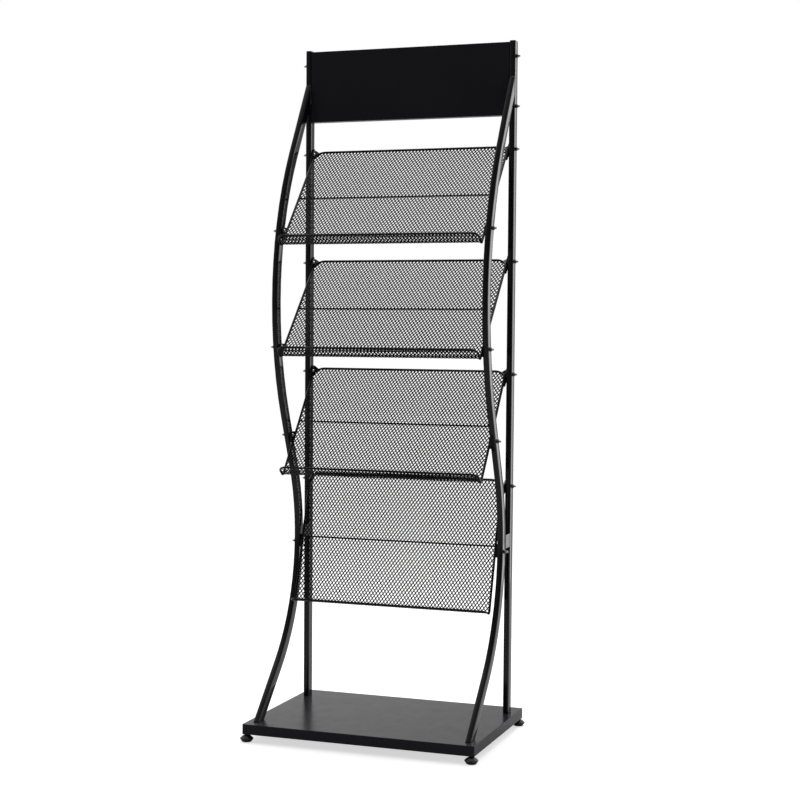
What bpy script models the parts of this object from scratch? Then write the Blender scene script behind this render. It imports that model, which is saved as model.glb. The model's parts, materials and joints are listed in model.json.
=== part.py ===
"""Free-standing newspaper rack: a welded tube frame on a sheet-steel base, four bolted mesh shelves and a header.

+Z is up, the front faces -Y and the origin is on the floor under the middle. Lengths below are millimetres.
"""
from math import atan2, cos, hypot, pi, radians, sin, sqrt

import bmesh
import bpy
from mathutils import Vector

for old in list(bpy.data.objects):
    bpy.data.objects.remove(old, do_unlink=True)

MM = 0.001
GAP = 0.3  # clearance left between two pieces that touch

# Base tray
BASE_W, BASE_D = 525.0, 385.0
BASE_LOW, BASE_TOP = 17.0, 39.0
BASE_WALL = 1.5
BASE_CORNER = 3.0

# Frame tubes: rectangular section, 13 mm wide (X) and 25 mm deep
TUBE_W, TUBE_D, TUBE_R, TUBE_WALL = 13.0, 25.0, 3.0, 1.2
TUBE_X = 241.0
UPRIGHT_Y, UPRIGHT_TOP = 135.7, 1532.0
# Front tube: straight, arc, straight, arc, straight, in degrees from vertical (forward is positive)
FRONT_MEETS_Z = 1451.3
LEAN, STRAIGHT_1, BEND_R1, BEND_1 = 31.6, 196.0, 628.0, 55.0
STRAIGHT_2, BEND_R2, BEND_2 = 132.0, 395.0, 68.9
STRUT_LOW, STRUT_HIGH = 415.0, 445.0

# Header panel
PANEL_LOW, PANEL_HIGH = 1369.0, 1529.0
PANEL_FRONT, PANEL_DEPTH, PANEL_WALL = 124.2, 22.0, 1.2
PANEL_BOLTS = (1389.5, 1499.0)

# Shelves: one wire ring with a mesh sheet inside it
RING_X, RING_R = 229.2, 2.5
SHELF_LENGTH, LIP_LENGTH = 300.0, 31.5
TOP_CORNER, LIP_CORNER, FOLD_R = 24.0, 15.0, 5.0
MID_WIRE_AT, MID_WIRE_R = 151.0, 2.0
SHEET_T = 0.8
TAB_IN, TAB_OUT, TAB_R = 230.9, 234.2, 8.0
EAR_TIP, EAR_TIP_R = (3.0, 11.0), 2.5  # tip of a rear tab, from its bolt (Y, Z)
WEB_NEAR, WEB_FAR = 1.4, 3.2  # distance of the corner web behind the sheet
# fold (Y, Z), slope in degrees, height of the front bolt
SHELVES = {
    1: (-61.0, 1080.0, 47.5, 1113.4),
    2: (-63.3, 834.5, 46.4, 856.6),
    3: (-47.5, 571.0, 51.1, 657.4),
    4: (25.8, 278.0, 72.1, 409.6),
}
REAR_BOLT_DROP = 8.0  # rear bolt below the shelf's top edge, measured along the slope

# Fasteners: M5
BOLT_R, HEAD_R, HEAD_H = 2.5, 4.2, 2.4
NUT_FLATS, NUT_H, THREAD_END = 8.0, 4.0, 4.5

# Levelling feet
FOOT_INSET, STUD_R, STUD_TOP = 8.0, 4.0, 33.0

main = bpy.data.collections.new("newspaper_rack")
bpy.context.scene.collection.children.link(main)
helpers = bpy.data.collections.new("cutters")
helpers.hide_render = True
bpy.context.scene.collection.children.link(helpers)


def material(name, colour, metallic, roughness):
    made = bpy.data.materials.new(name)
    made.use_nodes = True
    shader = made.node_tree.nodes["Principled BSDF"]
    shader.inputs["Base Color"].default_value = (*colour, 1.0)
    shader.inputs["Metallic"].default_value = metallic
    shader.inputs["Roughness"].default_value = roughness
    return made


POWDER = (0.012, 0.012, 0.013)


def new_object(name, bm, look=None):
    """Turns a bmesh in millimetres into an object. Without a look it is a helper that only cuts or joins."""
    bmesh.ops.recalc_face_normals(bm, faces=bm.faces)
    bmesh.ops.scale(bm, vec=Vector((MM, MM, MM)), verts=bm.verts)
    data = bpy.data.meshes.new(name)
    bm.to_mesh(data)
    bm.free()
    obj = bpy.data.objects.new(name, data)
    if look is None:
        helpers.objects.link(obj)
        obj.hide_render = True
        obj.display_type = "WIRE"
    else:
        main.objects.link(obj)
        data.materials.append(material(name + "_look", *look))
    return obj


def loft(bm, rings, loop=False):
    """Skins rings with the same number of points. A loop joins the last ring to the first; otherwise both ends cap."""
    rows = [[bm.verts.new(point) for point in ring] for ring in rings]
    count = len(rows[0])
    pairs = list(zip(rows, rows[1:] + rows[:1])) if loop else list(zip(rows, rows[1:]))
    for low, high in pairs:
        for i in range(count):
            j = (i + 1) % count
            bm.faces.new((low[i], low[j], high[j], high[i]))
    if not loop:
        bm.faces.new(rows[0])
        bm.faces.new(rows[-1])


def rounded_rect(width, depth, radius, steps):
    """Points round a rectangle with rounded corners, counter-clockwise about the origin."""
    points = []
    for k, (sx, sy) in enumerate(((1, 1), (-1, 1), (-1, -1), (1, -1))):
        for i in range(steps + 1):
            angle = radians(90 * k) + radians(90) * i / steps
            x = sx * (width / 2 - radius) + radius * cos(angle)
            y = sy * (depth / 2 - radius) + radius * sin(angle)
            points.append((x, y))
    return points


def cut(obj, cutter, operation="DIFFERENCE"):
    step = obj.modifiers.new(operation.lower(), "BOOLEAN")
    step.operation = operation
    step.solver = "EXACT"
    step.object = cutter


def x_cylinder(bm, x0, x1, y, z, radius, sides=16):
    """A cylinder along X, added to a bmesh."""
    ring = [(radius * cos(2 * pi * i / sides), radius * sin(2 * pi * i / sides)) for i in range(sides)]
    loft(bm, [[(x, y + a, z + b) for a, b in ring] for x in (x0, x1)])


def lathe_x(name, side, y, z, profile, look, sides=12, lead=0.0):
    """Turns (radius, distance from the middle) pairs round an X axis, on the side given."""
    bm = bmesh.new()
    rings = []
    for radius, out in profile:
        ring = []
        for i in range(sides):
            angle = lead + 2 * pi * i / sides
            ring.append((side * out, y + radius * cos(angle), z + radius * sin(angle)))
        rings.append(ring)
    loft(bm, rings)
    return new_object(name, bm, look)


# ---------------------------------------------------------------- frame tubes

TUBE_LOOK = (POWDER, 0.0, 0.25)


def front_tube_path():
    """Stations down the front tube's centre line: (y, z, angle from vertical)."""
    y, z, angle = UPRIGHT_Y, FRONT_MEETS_Z, radians(LEAN)
    stations = [(y, z, angle)]
    y, z = y - STRAIGHT_1 * sin(angle), z - STRAIGHT_1 * cos(angle)
    stations.append((y, z, angle))
    for radius, bend, steps, then in (
        (BEND_R1, -radians(BEND_1), 14, STRAIGHT_2),
        (BEND_R2, radians(BEND_2), 16, 0.0),
    ):
        for _ in range(steps):
            turn = bend / steps
            chord = 2 * radius * sin(abs(turn) / 2)
            y -= chord * sin(angle + turn / 2)
            z -= chord * cos(angle + turn / 2)
            angle += turn
            stations.append((y, z, angle))
        if then:
            y, z = y - then * sin(angle), z - then * cos(angle)
            stations.append((y, z, angle))
    reach = (z - BASE_TOP) / cos(angle)
    stations.append((y - reach * sin(angle), BASE_TOP, angle))
    return stations


def tube_y_at(height):
    """Y of the front tube's centre line at a height."""
    stations = front_tube_path()
    for (y0, z0, _), (y1, z1, _) in zip(stations, stations[1:]):
        if z1 <= height <= z0:
            return y0 + (y1 - y0) * (z0 - height) / (z0 - z1)
    raise ValueError("height is off the tube")


def front_ring(station, profile, x_mid, end):
    """One ring of the front tube. An end ring slides along the tube onto the upright's face or the base's top."""
    y, z, angle = station
    along = Vector((0, -sin(angle), -cos(angle)))
    ahead = Vector((0, -cos(angle), sin(angle)))
    ring = []
    for across, forward in profile:
        point = Vector((x_mid + across, y, z)) + ahead * forward
        if end == "top":
            face = UPRIGHT_Y - TUBE_D / 2 - GAP
            point += along * ((face - point.y) / along.y)
        if end == "foot":
            point += along * ((BASE_TOP + GAP - point.z) / along.z)
        ring.append(point)
    return ring


def bolt_holes(name, side, places):
    """Cutters through both walls of a side frame's tube, at (y, z) places."""
    bm = bmesh.new()
    for y, z in places:
        x_cylinder(bm, side * (TUBE_X - TUBE_W), side * (TUBE_X + TUBE_W), y, z, BOLT_R + 0.2)
    return new_object(name, bm)


def front_tube(label, side):
    outer = rounded_rect(TUBE_W, TUBE_D, TUBE_R, 2)
    inner = rounded_rect(TUBE_W - 2 * TUBE_WALL, TUBE_D - 2 * TUBE_WALL, TUBE_R - TUBE_WALL, 2)
    stations = front_tube_path()
    ends = {0: "top", len(stations) - 1: "foot"}
    shells = []
    for profile in (outer, inner):
        shells.append([front_ring(s, profile, side * TUBE_X, ends.get(i)) for i, s in enumerate(stations)])
    bm = bmesh.new()
    loft(bm, shells[0] + shells[1][::-1], loop=True)
    tube = new_object(f"{label}_front_tube", bm, TUBE_LOOK)
    holes = [front_bolt(number) for number in SHELVES]
    cut(tube, bolt_holes(f"{label}_front_tube_holes", side, holes))


def upright(label, side):
    """Straight tube with a closed top. Its foot is open on the base's top."""
    outer = rounded_rect(TUBE_W, TUBE_D, TUBE_R, 3)
    inner = rounded_rect(TUBE_W - 2 * TUBE_WALL, TUBE_D - 2 * TUBE_WALL, TUBE_R - TUBE_WALL, 3)
    brow = rounded_rect(TUBE_W - 1.6, TUBE_D - 1.6, TUBE_R - 0.8, 3)
    foot = BASE_TOP + GAP
    sections = (
        (inner, UPRIGHT_TOP - 1.5), (inner, foot), (outer, foot), (outer, UPRIGHT_TOP - 0.8), (brow, UPRIGHT_TOP),
    )
    bm = bmesh.new()
    loft(bm, [[(side * TUBE_X + x, UPRIGHT_Y + y, z) for x, y in profile] for profile, z in sections])
    tube = new_object(f"{label}_rear_upright", bm, TUBE_LOOK)
    holes = [rear_bolt(number) for number in SHELVES] + [(UPRIGHT_Y, z) for z in PANEL_BOLTS]
    cut(tube, bolt_holes(f"{label}_rear_upright_holes", side, holes))


def strut(label, side):
    """Short flat spacer that ties the front tube to the upright at the waist, flush with both outer faces."""
    bm = bmesh.new()
    rear = UPRIGHT_Y - TUBE_D / 2 - GAP
    rings = []
    rows = 7
    for i in range(rows):
        z = STRUT_LOW + (STRUT_HIGH - STRUT_LOW) * i / (rows - 1)
        front = tube_face_y(z, -TUBE_D / 2) + GAP
        x0, x1 = side * (TUBE_X - TUBE_W / 2), side * (TUBE_X + TUBE_W / 2)
        rings.append([(x0, front, z), (x1, front, z), (x1, rear, z), (x0, rear, z)])
    loft(bm, rings)
    new_object(f"{label}_strut", bm, TUBE_LOOK)


def tube_face_y(height, forward):
    """Y of the front tube's front (+) or rear (-) face at a height."""
    edge = []
    for y, z, angle in front_tube_path():
        edge.append((y - forward * cos(angle), z + forward * sin(angle)))
    for (y0, z0), (y1, z1) in zip(edge, edge[1:]):
        if z1 <= height <= z0:
            return y0 + (y1 - y0) * (z0 - height) / (z0 - z1)
    raise ValueError("height is off the tube")


# ------------------------------------------------------------------- shelves


def shelf_axes(number):
    """Fold point, up-slope direction and rear normal of a shelf, in the YZ plane."""
    y, z, slope, _ = SHELVES[number]
    slope = radians(slope)
    return Vector((0, y, z)), Vector((0, cos(slope), sin(slope))), Vector((0, sin(slope), -cos(slope)))


def rear_bolt(number):
    """(y, z) of a shelf's rear bolt: on the upright's centre line, level with the top corner."""
    fold, up, rear = shelf_axes(number)
    corner = fold + up * (SHELF_LENGTH - REAR_BOLT_DROP)
    shift = (UPRIGHT_Y - corner.y) / rear.y
    return UPRIGHT_Y, corner.z + shift * rear.z


def front_bolt(number):
    height = SHELVES[number][3]
    return tube_y_at(height), height


def shelf_point(number, across, along, out=0.0):
    """A point on the folded shelf: along runs from the lip's edge round the fold and up the back."""
    fold, up, rear = shelf_axes(number)
    lip = -rear  # the lip stands square to the back
    radius = FOLD_R
    flat_lip, flat_back = LIP_LENGTH - radius, SHELF_LENGTH - radius
    bend = radius * pi / 2
    if along <= flat_lip:
        spot, normal = fold + lip * (LIP_LENGTH - along), -up
    elif along >= flat_lip + bend:
        spot, normal = fold + up * (along - flat_lip - bend + radius), rear
    else:
        turn = (along - flat_lip) / radius
        centre = fold + (up + lip) * radius
        normal = -up * cos(turn) + rear * sin(turn)
        spot = centre + normal * radius
    return spot + normal * out + Vector((across, 0, 0)), normal


SHELF_RUN = LIP_LENGTH + SHELF_LENGTH - 2 * FOLD_R + FOLD_R * pi / 2
BEND_FROM, BEND_TO = LIP_LENGTH - FOLD_R, LIP_LENGTH - FOLD_R + FOLD_R * pi / 2


def outline(inset, corner_steps):
    """Half the unfolded outline, from the lip's middle up one side to the top's middle: (across, along) pairs."""
    half = RING_X - inset
    low, high = LIP_CORNER - inset, TOP_CORNER - inset
    points = []
    for i in range(corner_steps + 1):
        angle = pi / 2 * i / corner_steps
        points.append((half - low + low * sin(angle), inset + low - low * cos(angle)))
    for i in range(5):
        points.append((half, BEND_FROM + (BEND_TO - BEND_FROM) * i / 4))
    points.append((half, (BEND_TO + SHELF_RUN) / 2))
    top = SHELF_RUN - inset
    for i in range(corner_steps + 1):
        angle = pi / 2 * i / corner_steps
        points.append((half - high + high * cos(angle), top - high + high * sin(angle)))
    return points


def shelf_frame(number):
    """Wire ring bent to the shelf's shape, a wire across its back and four bolt tabs, all welded together."""
    side = outline(0.0, 6)
    loop = side + [(-x, q) for x, q in reversed(side)]
    sides = 10
    rings = []
    for i, (x, q) in enumerate(loop):
        before, after = loop[i - 1], loop[(i + 1) % len(loop)]
        here, normal = shelf_point(number, x, q)
        tangent = shelf_point(number, *after)[0] - shelf_point(number, *before)[0]
        across = tangent.cross(normal).normalized()
        ring = []
        for k in range(sides):
            angle = 2 * pi * k / sides
            ring.append(here + (normal * cos(angle) + across * sin(angle)) * RING_R)
        rings.append(ring)
    bm = bmesh.new()
    loft(bm, rings, loop=True)
    frame = new_object(f"shelf_{number}_wire_frame", bm, (POWDER, 0.0, 0.3))

    extras = bmesh.new()
    add_mid_wire(extras, number)
    for side_sign in (-1, 1):
        add_tab(extras, number, side_sign, rear_bolt(number), (SHELF_LENGTH - 40, SHELF_LENGTH - 14), EAR_TIP)
        fold, up, _ = shelf_axes(number)
        hole = front_bolt(number)
        at = (Vector((0, *hole)) - fold).dot(up)
        add_tab(extras, number, side_sign, hole, (at - 13, at + 13))
    cut(frame, new_object(f"shelf_{number}_extras", extras), "UNION")
    if abs((Vector((0, *rear_bolt(number))) - fold).dot(shelf_axes(number)[2])) < HEAD_R:
        webs = bmesh.new()
        for side_sign in (-1, 1):
            add_web(webs, number, side_sign)
        cut(frame, new_object(f"shelf_{number}_webs", webs), "UNION")

    holes = bmesh.new()
    head_end = TAB_IN - 0.1 - HEAD_H
    clearance = (
        (head_end - 0.3, 2.6), (head_end, 2.9), (head_end + 1.0, HEAD_R + 0.35),
        (TAB_IN, HEAD_R + 0.35), (TAB_IN, BOLT_R + 0.2), (TAB_OUT + 3, BOLT_R + 0.2),
    )
    for side_sign in (-1, 1):
        for y, z in (rear_bolt(number), front_bolt(number)):
            rings = []
            for out, radius in clearance:
                circle = [(radius * cos(pi * i / 8), radius * sin(pi * i / 8)) for i in range(16)]
                rings.append([(side_sign * out, y + a, z + b) for a, b in circle])
            loft(holes, rings)
    cut(frame, new_object(f"shelf_{number}_holes", holes))


def add_mid_wire(bm, number):
    fold, up, rear = shelf_axes(number)
    middle = fold + up * MID_WIRE_AT + rear * (SHEET_T / 2 + GAP + MID_WIRE_R)
    x_cylinder(bm, -RING_X + 0.4, RING_X - 0.4, middle.y, middle.z, MID_WIRE_R, 10)


def add_tab(bm, number, side, hole, pads, tip=None):
    """A plate in the YZ plane: the hull of a disc round the bolt, two small discs on the side wire and a tip."""
    fold, up, _ = shelf_axes(number)
    discs = [(hole[0], hole[1], TAB_R)]
    if tip:
        discs.append((hole[0] + tip[0], hole[1] + tip[1], EAR_TIP_R))
    for at in pads:
        spot = fold + up * at
        discs.append((spot.y, spot.z, 2.2))
    cloud = []
    for y, z, radius in discs:
        for i in range(16):
            angle = 2 * pi * i / 16
            cloud.append((y + radius * cos(angle), z + radius * sin(angle)))
    hull = convex_hull(cloud)
    loft(bm, [[(side * x, y, z) for y, z in hull] for x in (TAB_IN, TAB_OUT)])


def add_web(bm, number, side):
    """A small gusset behind the ring's rounded top corner, from the wire to the tab's plate."""
    fold, up, rear = shelf_axes(number)
    spots = [(TAB_OUT, -38.0), (TAB_OUT, 8.5), (TAB_OUT - 2.0, 9.5)]
    for degrees in (62, 45, 25, 0):
        angle = radians(degrees)
        spots.append((RING_X - TOP_CORNER * (1 - cos(angle)), TOP_CORNER * (sin(angle) - 1)))
    spots.append((RING_X, -38.0))
    rings = []
    for away in (WEB_NEAR, WEB_FAR):
        level = fold + up * SHELF_LENGTH + rear * away
        rings.append([level + up * s + Vector((side * x, 0, 0)) for x, s in spots])
    loft(bm, rings)


def convex_hull(points):
    ordered = sorted(points)
    halves = []
    for run in (ordered, ordered[::-1]):
        half = []
        for point in run:
            while len(half) > 1:
                (ax, ay), (bx, by) = half[-2], half[-1]
                if (bx - ax) * (point[1] - ay) - (by - ay) * (point[0] - ax) > 1e-6:
                    break
                half.pop()
            half.append(point)
        halves += half[:-1]
    return halves


def shelf_mesh(number):
    """Expanded-metal panel, drawn as a plain thin sheet: back, fold and lip in one piece."""
    side = outline(RING_R + GAP, 6)
    bm = bmesh.new()
    rings = []
    for x, q in side:
        low_l, _ = shelf_point(number, -x, q, -SHEET_T / 2)
        low_r, _ = shelf_point(number, x, q, -SHEET_T / 2)
        high_r, _ = shelf_point(number, x, q, SHEET_T / 2)
        high_l, _ = shelf_point(number, -x, q, SHEET_T / 2)
        rings.append([low_l, low_r, high_r, high_l])
    loft(bm, rings)
    new_object(f"shelf_{number}_mesh", bm, (POWDER, 0.0, 0.35))


# --------------------------------------------------------- base, header, feet


def base_tray():
    """Sheet-steel tray, open below, with a plate in each corner that carries a levelling foot."""
    bm = bmesh.new()
    rings = []
    for shrink, z in ((0.0, BASE_LOW), (0.0, BASE_TOP - 1.0), (0.3, BASE_TOP - 0.3), (1.0, BASE_TOP)):
        outline_at = rounded_rect(BASE_W - 2 * shrink, BASE_D - 2 * shrink, BASE_CORNER - shrink / 2, 4)
        rings.append([(x, y, z) for x, y in outline_at])
    loft(bm, rings)
    tray = new_object("base_tray", bm, (POWDER, 0.0, 0.22))

    bm = bmesh.new()
    hollow = rounded_rect(BASE_W - 2 * BASE_WALL, BASE_D - 2 * BASE_WALL, BASE_CORNER - BASE_WALL, 4)
    loft(bm, [[(x, y, z) for x, y in hollow] for z in (BASE_LOW - 5, BASE_TOP - BASE_WALL)])
    cut(tray, new_object("base_hollow", bm))

    plates, holes = bmesh.new(), bmesh.new()
    for sx, sy in CORNERS:
        x0, x1 = sx * (BASE_W / 2 - 0.7), sx * (BASE_W / 2 - 30)
        y0, y1 = sy * (BASE_D / 2 - 0.7), sy * (BASE_D / 2 - 30)
        corner = [(x0 - sx * 1.2, y0), (x1, y0), (x1, y1 - sy * -10), (x1 + sx * 10, y1), (x0, y1), (x0, y0 - sy * 1.2)]
        loft(plates, [[(x, y, z) for x, y in corner] for z in (20.0, 23.0)])
        fx, fy = foot_at(sx, sy)
        ring = [((STUD_R + 0.1) * cos(pi * i / 12), (STUD_R + 0.1) * sin(pi * i / 12)) for i in range(24)]
        loft(holes, [[(fx + a, fy + b, z) for a, b in ring] for z in (18.5, 25.0)])
    cut(tray, new_object("base_plates", plates), "UNION")
    cut(tray, new_object("base_plate_holes", holes))


CORNERS = ((-1, -1), (1, -1), (-1, 1), (1, 1))


def foot_at(sx, sy):
    return sx * (BASE_W / 2 - FOOT_INSET), sy * (BASE_D / 2 - FOOT_INSET)


def levelling_foot(sx, sy):
    """Plastic pad shaped as two cones, moulded on a threaded stud that screws into the base's corner plate."""
    x, y = foot_at(sx, sy)
    profile = [
        (9.3, 0.0), (10.2, 0.5), (14.2, 6.0), (14.8, 6.8), (14.8, 7.6), (14.2, 8.4), (10.2, 12.0),
        (6.6, 14.3), (5.2, 15.3), (STUD_R, 15.3), (STUD_R, STUD_TOP - 1), (STUD_R - 1, STUD_TOP),
    ]
    bm = bmesh.new()
    sides = 24
    rings = []
    for radius, z in profile:
        rings.append([(x + radius * cos(2 * pi * i / sides), y + radius * sin(2 * pi * i / sides), z) for i in range(sides)])
    loft(bm, rings)
    end = "front" if sy < 0 else "rear"
    label = "left" if sx < 0 else "right"
    new_object(f"foot_{end}_{label}", bm, ((0.015, 0.015, 0.016), 0.0, 0.4))


def header_panel():
    """Folded sheet panel between the uprights: a flat face with four side flanges, open behind."""
    half = TUBE_X - TUBE_W / 2 - GAP
    rings = []
    for shrink, y in ((0.7, PANEL_FRONT), (0.0, PANEL_FRONT + 0.7), (0.0, PANEL_FRONT + PANEL_DEPTH)):
        x, low, high = half - shrink, PANEL_LOW + shrink, PANEL_HIGH - shrink
        rings.append([(-x, y, low), (x, y, low), (x, y, high), (-x, y, high)])
    bm = bmesh.new()
    loft(bm, rings)
    panel = new_object("header_panel", bm, (POWDER, 0.0, 0.22))
    x, low, high = half - PANEL_WALL, PANEL_LOW + PANEL_WALL, PANEL_HIGH - PANEL_WALL
    bm = bmesh.new()
    ys = (PANEL_FRONT + PANEL_WALL, PANEL_FRONT + PANEL_DEPTH + 5)
    loft(bm, [[(-x, y, low), (x, y, low), (x, y, high), (-x, y, high)] for y in ys])
    cut(panel, new_object("header_hollow", bm))
    bm = bmesh.new()
    for side in (-1, 1):
        for z in PANEL_BOLTS:
            x_cylinder(bm, side * (half - 6), side * (half + 4), UPRIGHT_Y, z, BOLT_R + 0.2)
    cut(panel, new_object("header_holes", bm))


# ------------------------------------------------------------------ fasteners


def bolt_and_nut(name, side, y, z, head_seat):
    """A round-head bolt from the inside out through the tube, and the hexagon nut on its outer end."""
    nut_seat = TUBE_X + TUBE_W / 2 + GAP
    tip = nut_seat + NUT_H + THREAD_END
    seat = head_seat - 0.1
    profile = [
        (HEAD_R * 0.55, seat - HEAD_H), (HEAD_R * 0.9, seat - HEAD_H * 0.6), (HEAD_R, seat - HEAD_H * 0.2),
        (HEAD_R, seat), (BOLT_R, seat), (BOLT_R, tip - 0.8), (BOLT_R - 0.7, tip),
    ]
    steel = ((0.35, 0.35, 0.36), 1.0, 0.35)
    lathe_x(f"bolt_{name}", side, y, z, profile, steel)

    sides = 12
    bm = bmesh.new()
    rings = []
    bore = BOLT_R + 0.1
    for radius, limit, out in (
        (NUT_FLATS / 2, NUT_FLATS * 0.56, nut_seat),
        (NUT_FLATS / 2, NUT_FLATS * 0.56, nut_seat + NUT_H - 0.9),
        (NUT_FLATS / 2 - 0.5, NUT_FLATS / 2 - 0.3, nut_seat + NUT_H),
        (bore, bore, nut_seat + NUT_H),
        (bore, bore, nut_seat),
    ):
        ring = []
        for i in range(sides):
            angle = 2 * pi * i / sides
            reach = radius if i % 2 == 0 else limit
            ring.append((side * out, y + reach * cos(angle), z + reach * sin(angle)))
        rings.append(ring)
    loft(bm, rings, loop=True)
    new_object(f"nut_{name}", bm, ((0.03, 0.03, 0.032), 0.6, 0.35))


def fasteners():
    for label, side in (("left", -1), ("right", 1)):
        for number in SHELVES:
            y, z = rear_bolt(number)
            bolt_and_nut(f"shelf_{number}_rear_{label}", side, y, z, TAB_IN)
            y, z = front_bolt(number)
            bolt_and_nut(f"shelf_{number}_front_{label}", side, y, z, TAB_IN)
        for place, z in zip(("lower", "upper"), PANEL_BOLTS):
            seat = TUBE_X - TUBE_W / 2 - GAP - PANEL_WALL
            bolt_and_nut(f"header_{place}_{label}", side, UPRIGHT_Y, z, seat)


base_tray()
for label, side in (("left", -1), ("right", 1)):
    upright(label, side)
    front_tube(label, side)
    strut(label, side)
header_panel()
for number in SHELVES:
    shelf_frame(number)
    shelf_mesh(number)
for sx, sy in CORNERS:
    levelling_foot(sx, sy)
fasteners()
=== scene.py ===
"""Looks for the newspaper rack: expanded-metal shelves, black coat, a white studio and the photo's camera.

The tubes, sheet parts, wire frames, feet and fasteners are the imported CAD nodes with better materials.
"""
import json
from math import ceil, cos, pi, radians, sin, sqrt

import bpy
from mathutils import Matrix, Vector


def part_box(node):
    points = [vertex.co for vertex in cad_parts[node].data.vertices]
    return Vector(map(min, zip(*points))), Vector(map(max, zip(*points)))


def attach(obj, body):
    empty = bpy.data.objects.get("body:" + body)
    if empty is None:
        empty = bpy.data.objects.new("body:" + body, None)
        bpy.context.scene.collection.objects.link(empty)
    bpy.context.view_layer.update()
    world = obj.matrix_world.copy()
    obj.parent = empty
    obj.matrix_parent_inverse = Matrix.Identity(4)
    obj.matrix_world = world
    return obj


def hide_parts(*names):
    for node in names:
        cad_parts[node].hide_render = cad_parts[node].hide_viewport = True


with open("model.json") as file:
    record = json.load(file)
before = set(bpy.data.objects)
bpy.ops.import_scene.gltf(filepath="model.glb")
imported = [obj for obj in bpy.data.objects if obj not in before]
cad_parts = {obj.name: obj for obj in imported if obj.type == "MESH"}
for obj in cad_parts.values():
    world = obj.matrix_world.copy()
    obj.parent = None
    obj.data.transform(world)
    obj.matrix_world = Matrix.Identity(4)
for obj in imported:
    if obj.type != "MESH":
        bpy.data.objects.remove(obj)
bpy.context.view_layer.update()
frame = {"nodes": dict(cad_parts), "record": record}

ROOT = "rack"
MM = 0.001

# ------------------------------------------------------------------ node tools


def new_material(name):
    made = bpy.data.materials.new(name)
    made.use_nodes = True
    tree = made.node_tree
    tree.nodes.clear()
    out = tree.nodes.new("ShaderNodeOutputMaterial")
    shader = tree.nodes.new("ShaderNodeBsdfPrincipled")
    tree.links.new(shader.outputs[0], out.inputs["Surface"])
    return made, tree, shader


def noise(tree, scale, detail=3.0, roughness=0.5):
    """Noise in the object's own coordinates. The scale is in cycles a metre."""
    place = tree.nodes.new("ShaderNodeTexCoord")
    texture = tree.nodes.new("ShaderNodeTexNoise")
    texture.inputs["Scale"].default_value = scale
    texture.inputs["Detail"].default_value = detail
    texture.inputs["Roughness"].default_value = roughness
    tree.links.new(place.outputs["Object"], texture.inputs["Vector"])
    return texture.outputs[0]


def spread(tree, value, low, high, start=0.0, end=1.0):
    """Maps a value between start and end onto low to high, and holds it there beyond them."""
    node = tree.nodes.new("ShaderNodeMapRange")
    node.inputs["From Min"].default_value = start
    node.inputs["From Max"].default_value = end
    node.inputs["To Min"].default_value = low
    node.inputs["To Max"].default_value = high
    tree.links.new(value, node.inputs["Value"])
    return node.outputs[0]


def arithmetic(tree, operation, first, second):
    node = tree.nodes.new("ShaderNodeMath")
    node.operation = operation
    tree.links.new(first, node.inputs[0])
    tree.links.new(second, node.inputs[1])
    return node.outputs[0]


def mix_colour(tree, factor, first, second):
    node = tree.nodes.new("ShaderNodeMix")
    node.data_type = "RGBA"
    tree.links.new(factor, node.inputs[0])
    node.inputs[6].default_value = (*first, 1.0)
    node.inputs[7].default_value = (*second, 1.0)
    return node.outputs[2]


def bump(tree, height, strength, distance, normal=None):
    node = tree.nodes.new("ShaderNodeBump")
    node.inputs["Strength"].default_value = strength
    node.inputs["Distance"].default_value = distance
    tree.links.new(height, node.inputs["Height"])
    if normal is not None:
        tree.links.new(normal, node.inputs["Normal"])
    return node.outputs[0]


# Powder coat: noise scales in cycles a metre, and the orange peel's strength and its depth in metres
PATCHES, HAZE, PEEL = 9.0, 40.0, 420.0
PEEL_STRENGTH, PEEL_DEPTH = 0.08, 0.0004
DARK_PATCH, LIGHT_PATCH = (0.85, 0.85, 1.05), (1.15, 1.15, 1.42)  # red, green and blue, times the tone
CLEAR, HAZY = 0.9, 1.12  # times the gloss, where the haze noise is at the ends of its span
HAZE_SPAN = (0.3, 0.7)
BEVEL_SAMPLES = 6


def powder_coat(name, gloss, edge=0.0, tone=0.004, ior=1.37):
    """Black powder coat: an orange-peel skin, a slight haze and slightly lighter patches.

    gloss is the mean roughness, edge the radius in millimetres that edges look rounded to, tone the mean
    brightness of the colour, and ior sets how strongly the coat reflects.
    """
    made, tree, shader = new_material(name)
    shader.inputs["IOR"].default_value = ior
    dark, light = [tuple(tone * part for part in patch) for patch in (DARK_PATCH, LIGHT_PATCH)]
    tree.links.new(mix_colour(tree, noise(tree, PATCHES), dark, light), shader.inputs["Base Color"])
    haze = spread(tree, noise(tree, HAZE), gloss * CLEAR, gloss * HAZY, *HAZE_SPAN)
    tree.links.new(haze, shader.inputs["Roughness"])
    normal = None
    if edge:
        rounded = tree.nodes.new("ShaderNodeBevel")
        rounded.samples = BEVEL_SAMPLES
        rounded.inputs["Radius"].default_value = edge * MM
        normal = rounded.outputs[0]
    skin = noise(tree, PEEL, detail=2.0)
    tree.links.new(bump(tree, skin, PEEL_STRENGTH, PEEL_DEPTH, normal), shader.inputs["Normal"])
    return made


def zinc(name, tone, gloss):
    """Zinc plating, spotted in colour and gloss."""
    made, tree, shader = new_material(name)
    shader.inputs["Metallic"].default_value = 1.0
    spots = noise(tree, 900.0, roughness=0.6)
    dark, light = (tone * 0.7,) * 3, (tone * 1.15, tone * 1.15, tone * 1.2)
    tree.links.new(mix_colour(tree, spots, dark, light), shader.inputs["Base Color"])
    tree.links.new(spread(tree, spots, gloss * 0.8, gloss * 1.3), shader.inputs["Roughness"])
    tree.links.new(bump(tree, noise(tree, 1600.0), 0.15, 0.0002), shader.inputs["Normal"])
    return made


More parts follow.
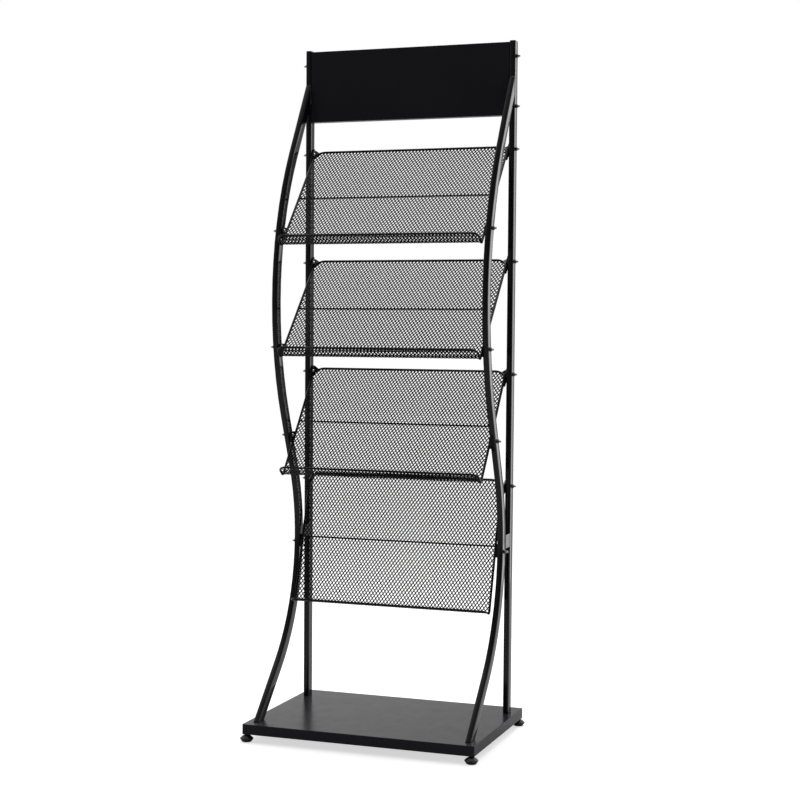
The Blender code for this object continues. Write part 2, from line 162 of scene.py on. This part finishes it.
def moulded_black(name):
    made, tree, shader = new_material(name)
    shader.inputs["IOR"].default_value = 1.48
    grain = noise(tree, 1500.0, 4.0, 0.6)
    dark, light = (0.010, 0.010, 0.011), (0.020, 0.020, 0.021)
    tree.links.new(mix_colour(tree, grain, dark, light), shader.inputs["Base Color"])
    tree.links.new(spread(tree, grain, 0.30, 0.48), shader.inputs["Roughness"])
    tree.links.new(bump(tree, grain, 0.25, 0.0003), shader.inputs["Normal"])
    return made


# ---------------------------------------------------------------- smooth edges

# Edges sharper than this stay sharp, in degrees: on flat parts, and on round or bent ones
FLAT_PART, ROUND_PART = 32, 50
WELD_WITHIN = 0.00001  # metres


def smoothing_group(angle):
    """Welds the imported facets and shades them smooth, except across edges sharper than the angle."""
    tree = bpy.data.node_groups.new(f"smooth_{angle}", "GeometryNodeTree")
    tree.interface.new_socket("Geometry", in_out="INPUT", socket_type="NodeSocketGeometry")
    tree.interface.new_socket("Geometry", in_out="OUTPUT", socket_type="NodeSocketGeometry")
    start, end = tree.nodes.new("NodeGroupInput"), tree.nodes.new("NodeGroupOutput")
    weld = tree.nodes.new("GeometryNodeMergeByDistance")
    weld.inputs["Distance"].default_value = WELD_WITHIN
    faces = tree.nodes.new("GeometryNodeSetShadeSmooth")
    edges = tree.nodes.new("GeometryNodeSetShadeSmooth")
    edges.domain = "EDGE"
    corner = tree.nodes.new("GeometryNodeInputMeshEdgeAngle")
    flat_enough = tree.nodes.new("FunctionNodeCompare")
    flat_enough.operation = "LESS_THAN"
    flat_enough.inputs[1].default_value = radians(angle)
    link = tree.links.new
    link(start.outputs[0], weld.inputs["Geometry"])
    link(weld.outputs[0], faces.inputs["Geometry"])
    link(faces.outputs[0], edges.inputs["Geometry"])
    link(corner.outputs["Unsigned Angle"], flat_enough.inputs[0])
    link(flat_enough.outputs[0], edges.inputs["Shade Smooth"])
    link(edges.outputs[0], end.inputs[0])
    return tree


SMOOTH = {angle: smoothing_group(angle) for angle in (FLAT_PART, ROUND_PART)}


def finish_node(node, look, angle):
    obj = frame["nodes"][node]
    obj.data.materials.clear()
    obj.data.materials.append(look)
    step = obj.modifiers.new("smooth", "NODES")
    step.node_group = SMOOTH[angle]
    weigh = obj.modifiers.new("weighted", "WEIGHTED_NORMAL")
    weigh.keep_sharp = True


tube_coat = powder_coat("tube_coat", gloss=0.09, edge=3.0)
sheet_coat = powder_coat("sheet_coat", gloss=0.24, edge=0.7, tone=0.019, ior=1.185)
wire_coat = powder_coat("wire_coat", gloss=0.26, ior=1.30)
mesh_coat = powder_coat("mesh_coat", gloss=0.34, tone=0.003, ior=1.18)
foot_plastic = moulded_black("foot_plastic")
bolt_zinc = zinc("bolt_zinc", tone=0.55, gloss=0.30)
nut_zinc = zinc("nut_zinc", tone=0.10, gloss=0.32)

for node in frame["nodes"]:
    if node.startswith("bolt_"):
        finish_node(node, bolt_zinc, ROUND_PART)
    elif node.startswith("nut_"):
        finish_node(node, nut_zinc, FLAT_PART)
    elif node.startswith("foot_"):
        finish_node(node, foot_plastic, ROUND_PART)
    elif node.endswith("_wire_frame"):
        finish_node(node, wire_coat, ROUND_PART)
    elif node in ("base_tray", "header_panel"):
        finish_node(node, sheet_coat, FLAT_PART)
    elif not node.endswith("_mesh"):
        finish_node(node, tube_coat, ROUND_PART)

# ------------------------------------------------------------ expanded metal

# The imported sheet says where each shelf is. These say how it is folded and cut, in metres.
FOLD_R, LIP, LENGTH, HALF = 0.005, 0.0315, 0.300, 0.2292  # HALF is to the middle of the wire ring
TOP_CORNER, LIP_CORNER = 0.024, 0.015
CORNER_STEPS = 6
SHEET_T = 0.0008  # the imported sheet
HELD = 0.0023  # from the middle of the ring's wire in to the mesh's edge
BEND = FOLD_R * pi / 2
RUN = LIP + LENGTH - 2 * FOLD_R + BEND  # along the sheet, from the lip's edge to the top

# Expanded metal: one diamond across and along, and a strand's width and thickness
PITCH_X, PITCH_Q = 0.008, 0.01175
STRAND, THICK = 0.0022, 0.0008
SET = -0.4  # how far a strand leans along the sheet for each unit of its thickness
GRID = 1e7  # points are one point if they fall on the same step of this grid, in steps a metre
CLEAR_OF_EDGE = 1e-6  # a strand with less than this between it and the outline is clipped, in square metres


def shelf_place(number):
    """(fold point, up-slope direction, rear normal) of a shelf, from its rest mount and its packed sheet."""
    mount = next(m for m in frame["record"]["mounts"] if m["name"] == f"shelf_{number}_back")
    rear = -Vector(mount["axis"]).normalized()
    up = Vector((0, -rear.z, rear.y))
    low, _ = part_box(f"shelf_{number}_mesh")
    on_plane = Vector(mount["pos_m"]) + rear * (SHEET_T / 2)
    # The lowest point is under the bend, whose centre is FOLD_R up both legs from the fold.
    drop = FOLD_R + SHEET_T / 2
    centre_z = low.z + drop
    fold_z = centre_z - FOLD_R * (up.z - rear.z)
    fold = on_plane + up * ((fold_z - on_plane.z) / up.z)
    return fold, up, rear


def on_shelf(place, across, along, out):
    """The point of the folded shelf that is this far across, along and out from the flat sheet."""
    fold, up, rear = place
    lip = -rear
    bend_from = LIP - FOLD_R
    if along <= bend_from:
        spot, normal = fold + lip * (LIP - along), -up
    elif along >= bend_from + BEND:
        spot, normal = fold + up * (along - bend_from - BEND + FOLD_R), rear
    else:
        turn = (along - bend_from) / FOLD_R
        normal = -up * cos(turn) + rear * sin(turn)
        spot = fold + (up + lip) * FOLD_R + normal * FOLD_R
    return spot + normal * out + Vector((across, 0, 0))


def outline():
    """The sheet's unfolded outline, counter-clockwise: (across, along) points."""
    half = HALF - HELD
    low, high = LIP_CORNER - HELD, TOP_CORNER - HELD
    angles = [pi / 2 * i / CORNER_STEPS for i in range(CORNER_STEPS + 1)]
    side = [(half - low + low * sin(a), HELD + low - low * cos(a)) for a in angles]
    side += [(half - high + high * cos(a), RUN - HELD - high + high * sin(a)) for a in angles]
    return side + [(-x, q) for x, q in reversed(side)]


def side_of(edge, point):
    """Over 0 if the point is on the left of the edge, the inner side of the outline."""
    (ax, ay), (bx, by) = edge
    x, y = point
    return (bx - ax) * (y - ay) - (by - ay) * (x - ax)


def clip(polygon, edges):
    """Cuts a polygon to the inside of a convex outline."""
    for edge in edges:
        kept = []
        sides = [side_of(edge, point) for point in polygon]
        for i, point in enumerate(polygon):
            j = (i + 1) % len(polygon)
            if sides[i] >= 0:
                kept.append(point)
            if (sides[i] > 0 > sides[j]) or (sides[i] < 0 < sides[j]):
                share = sides[i] / (sides[i] - sides[j])
                kept.append(tuple(p + (q - p) * share for p, q in zip(point, polygon[j])))
        polygon = kept
        if len(polygon) < 3:
            return []
    return polygon


def expanded_sheet():
    """Flat faces of the diamond mesh, cut to the outline: shared points and the polygons through them."""
    border = outline()
    edges = list(zip(border, border[1:] + border[:1]))
    points, index, faces = [], {}, []

    def point_at(x, q):
        key = (round(x * GRID), round(q * GRID))
        if key not in index:
            index[key] = len(points)
            points.append((x, q))
        return index[key]

    half_x, half_q = PITCH_X / 2, PITCH_Q / 2
    # A hole's corners move in from the cell's corners by half a strand, measured square to the strand.
    slant = sqrt(half_x ** 2 + half_q ** 2)
    shrink = 1 - (STRAND / 2) * slant / (half_x * half_q)
    columns, rows = ceil(HALF / half_x) + 1, ceil(RUN / half_q) + 1
    for row in range(-1, rows + 1):
        for column in range(-columns, columns + 1):
            if (row + column) % 2:
                continue
            x, q = column * half_x, row * half_q
            outer = [(x + half_x, q), (x, q + half_q), (x - half_x, q), (x, q - half_q)]
            inner = [(x + (a - x) * shrink, q + (b - q) * shrink) for a, b in outer]
            for k in range(4):
                m = (k + 1) % 4
                whole = [outer[k], outer[m], inner[m], inner[k]]
                inside = all(side_of(edge, point) > CLEAR_OF_EDGE for point in whole for edge in edges)
                piece = whole if inside else clip(whole, edges)
                ids = [point_at(*p) for p in piece]
                ids = [a for a, b in zip(ids, ids[1:] + ids[:1]) if a != b]
                if len(ids) > 2:
                    faces.append(ids)
    return points, faces


def expanded_metal(number, sheet):
    """Folds the flat mesh onto a shelf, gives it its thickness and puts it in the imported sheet's place."""
    place = shelf_place(number)
    points, faces = sheet
    count = len(points)
    spots = [on_shelf(place, x, q + SET * out, out) for out in (THICK / 2, -THICK / 2) for x, q in points]
    polygons = [list(f) for f in faces] + [[i + count for i in reversed(f)] for f in faces]
    used = {}  # each face's edges, kept in order; one that no other face shares gets a side wall
    for f in faces:
        for edge in zip(f, f[1:] + f[:1]):
            used[edge] = True
    for a, b in used:
        if (b, a) not in used:
            polygons.append([b, a, a + count, b + count])
    data = bpy.data.meshes.new(f"shelf_{number}_expanded_metal")
    data.from_pydata(spots, [], polygons)
    data.validate()
    data.materials.append(mesh_coat)
    piece = bpy.data.objects.new(data.name, data)
    bpy.context.scene.collection.objects.link(piece)
    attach(piece, ROOT)
    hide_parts(f"shelf_{number}_mesh")


sheet = expanded_sheet()
for number in (1, 2, 3, 4):
    expanded_metal(number, sheet)

# ------------------------------------------------------------- camera, studio

# Millimetres, parts of the frame, metres and radians
SENSOR, LENS = 36.0, 78.354
SHIFT_X, SHIFT_Y = 0.075, 0.015
CAMERA_AT = Vector((1.2737, -3.6110, 0.9224))
YAW, PITCH, ROLL = 0.3664, -0.0542, 0.0053

ahead = Vector((-sin(YAW) * cos(PITCH), cos(YAW) * cos(PITCH), sin(PITCH)))
right = Vector((cos(YAW), sin(YAW), 0))
above = right.cross(ahead)
right, above = right * cos(ROLL) + above * sin(ROLL), above * cos(ROLL) - right * sin(ROLL)
camera_data = bpy.data.cameras.new("camera")
camera = bpy.data.objects.new("camera", camera_data)
bpy.context.scene.collection.objects.link(camera)
camera_data.sensor_width = SENSOR
camera_data.lens = LENS
camera_data.shift_x = SHIFT_X
camera_data.shift_y = SHIFT_Y
turn = Matrix((right, above, -ahead)).transposed().to_4x4()
camera.matrix_world = Matrix.Translation(CAMERA_AT) @ turn
bpy.context.scene.camera = camera


def area_light(name, at, aim, width, height, power):
    data = bpy.data.lights.new(name, "AREA")
    data.shape = "RECTANGLE"
    data.size, data.size_y = width, height
    data.energy = power
    lamp = bpy.data.objects.new(name, data)
    lamp.location = at
    lamp.rotation_euler = (Vector(aim) - Vector(at)).to_track_quat("-Z", "Y").to_euler()
    lamp.visible_camera = False
    bpy.context.scene.collection.objects.link(lamp)


FLOOR_HALF = 12.0
PAPER = 0.64
# The floor's glow goes from the first strength to the second between these distances, in metres.
GLOW, GLOW_REACH = (0.63, 0.74), (1.5, 7.0)


def white_floor():
    """A paper floor that glows for the eye only, so that its reflections stay as dim as in the photo.

    It glows more away from the rack, so that no horizon shows.
    """
    data = bpy.data.meshes.new("floor")
    corners = [(x * FLOOR_HALF, y * FLOOR_HALF, 0) for x, y in ((-1, -1), (1, -1), (1, 1), (-1, 1))]
    data.from_pydata(corners, [], [(0, 1, 2, 3)])
    floor_piece = bpy.data.objects.new("floor", data)
    bpy.context.scene.collection.objects.link(floor_piece)
    paint, tree, shader = new_material("floor_paint")
    shader.inputs["Base Color"].default_value = (PAPER, PAPER, PAPER, 1)
    shader.inputs["Roughness"].default_value = 1.0
    shader.inputs["Specular IOR Level"].default_value = 0.0
    shader.inputs["Emission Color"].default_value = (1, 1, 1, 1)
    ray, place = tree.nodes.new("ShaderNodeLightPath"), tree.nodes.new("ShaderNodeTexCoord")
    reach = tree.nodes.new("ShaderNodeVectorMath")
    reach.operation = "LENGTH"
    tree.links.new(place.outputs["Object"], reach.inputs[0])
    strength = spread(tree, reach.outputs["Value"], *GLOW, *GLOW_REACH)
    glow = arithmetic(tree, "MULTIPLY", strength, ray.outputs["Is Camera Ray"])
    tree.links.new(glow, shader.inputs["Emission Strength"])
    data.materials.append(paint)


# Brightness of the room by the direction looked in, first from front to back and then from left to right
ROOM_Y, ROOM_Y_SPAN = (0.26, 1.0), (-0.50, 0.0)
ROOM_X, ROOM_X_SPAN = (1.0, 0.48), (-0.45, -0.05)


def white_room():
    """A room that is white behind the rack and dim in front of it. The camera sees it as plain white."""
    world = bpy.data.worlds.new("studio")
    bpy.context.scene.world = world
    world.use_nodes = True
    tree = world.node_tree
    tree.nodes.clear()
    out = tree.nodes.new("ShaderNodeOutputWorld")
    back = tree.nodes.new("ShaderNodeBackground")
    tree.links.new(back.outputs[0], out.inputs[0])
    back.inputs["Color"].default_value = (1, 1, 1, 1)
    place = tree.nodes.new("ShaderNodeTexCoord")
    split = tree.nodes.new("ShaderNodeSeparateXYZ")
    tree.links.new(place.outputs["Generated"], split.inputs[0])
    level = spread(tree, split.outputs["Y"], *ROOM_Y, *ROOM_Y_SPAN)
    # The back wall falls off to the right, and a tall soft panel stands in front of it there.
    shade = spread(tree, split.outputs["X"], *ROOM_X, *ROOM_X_SPAN)
    ray = tree.nodes.new("ShaderNodeLightPath")
    lit = arithmetic(tree, "MULTIPLY", level, shade)
    seen = arithmetic(tree, "MAXIMUM", lit, ray.outputs["Is Camera Ray"])
    tree.links.new(seen, back.inputs["Strength"])


white_floor()
white_room()
# Place and aim in metres, width and height in metres, power in watts
area_light("overhead", (0.0, 1.1, 3.3), (0, 0, 0), 2.6, 2.6, 78.0)
area_light("right_panel", (1.36, 2.0, 1.2), (0.26, 0.1, 1.2), 1.2, 2.4, 15.0)

view = bpy.context.scene.view_settings
view.view_transform = "Standard"
view.look = "None"
view.exposure = 0.0
view.gamma = 1.0
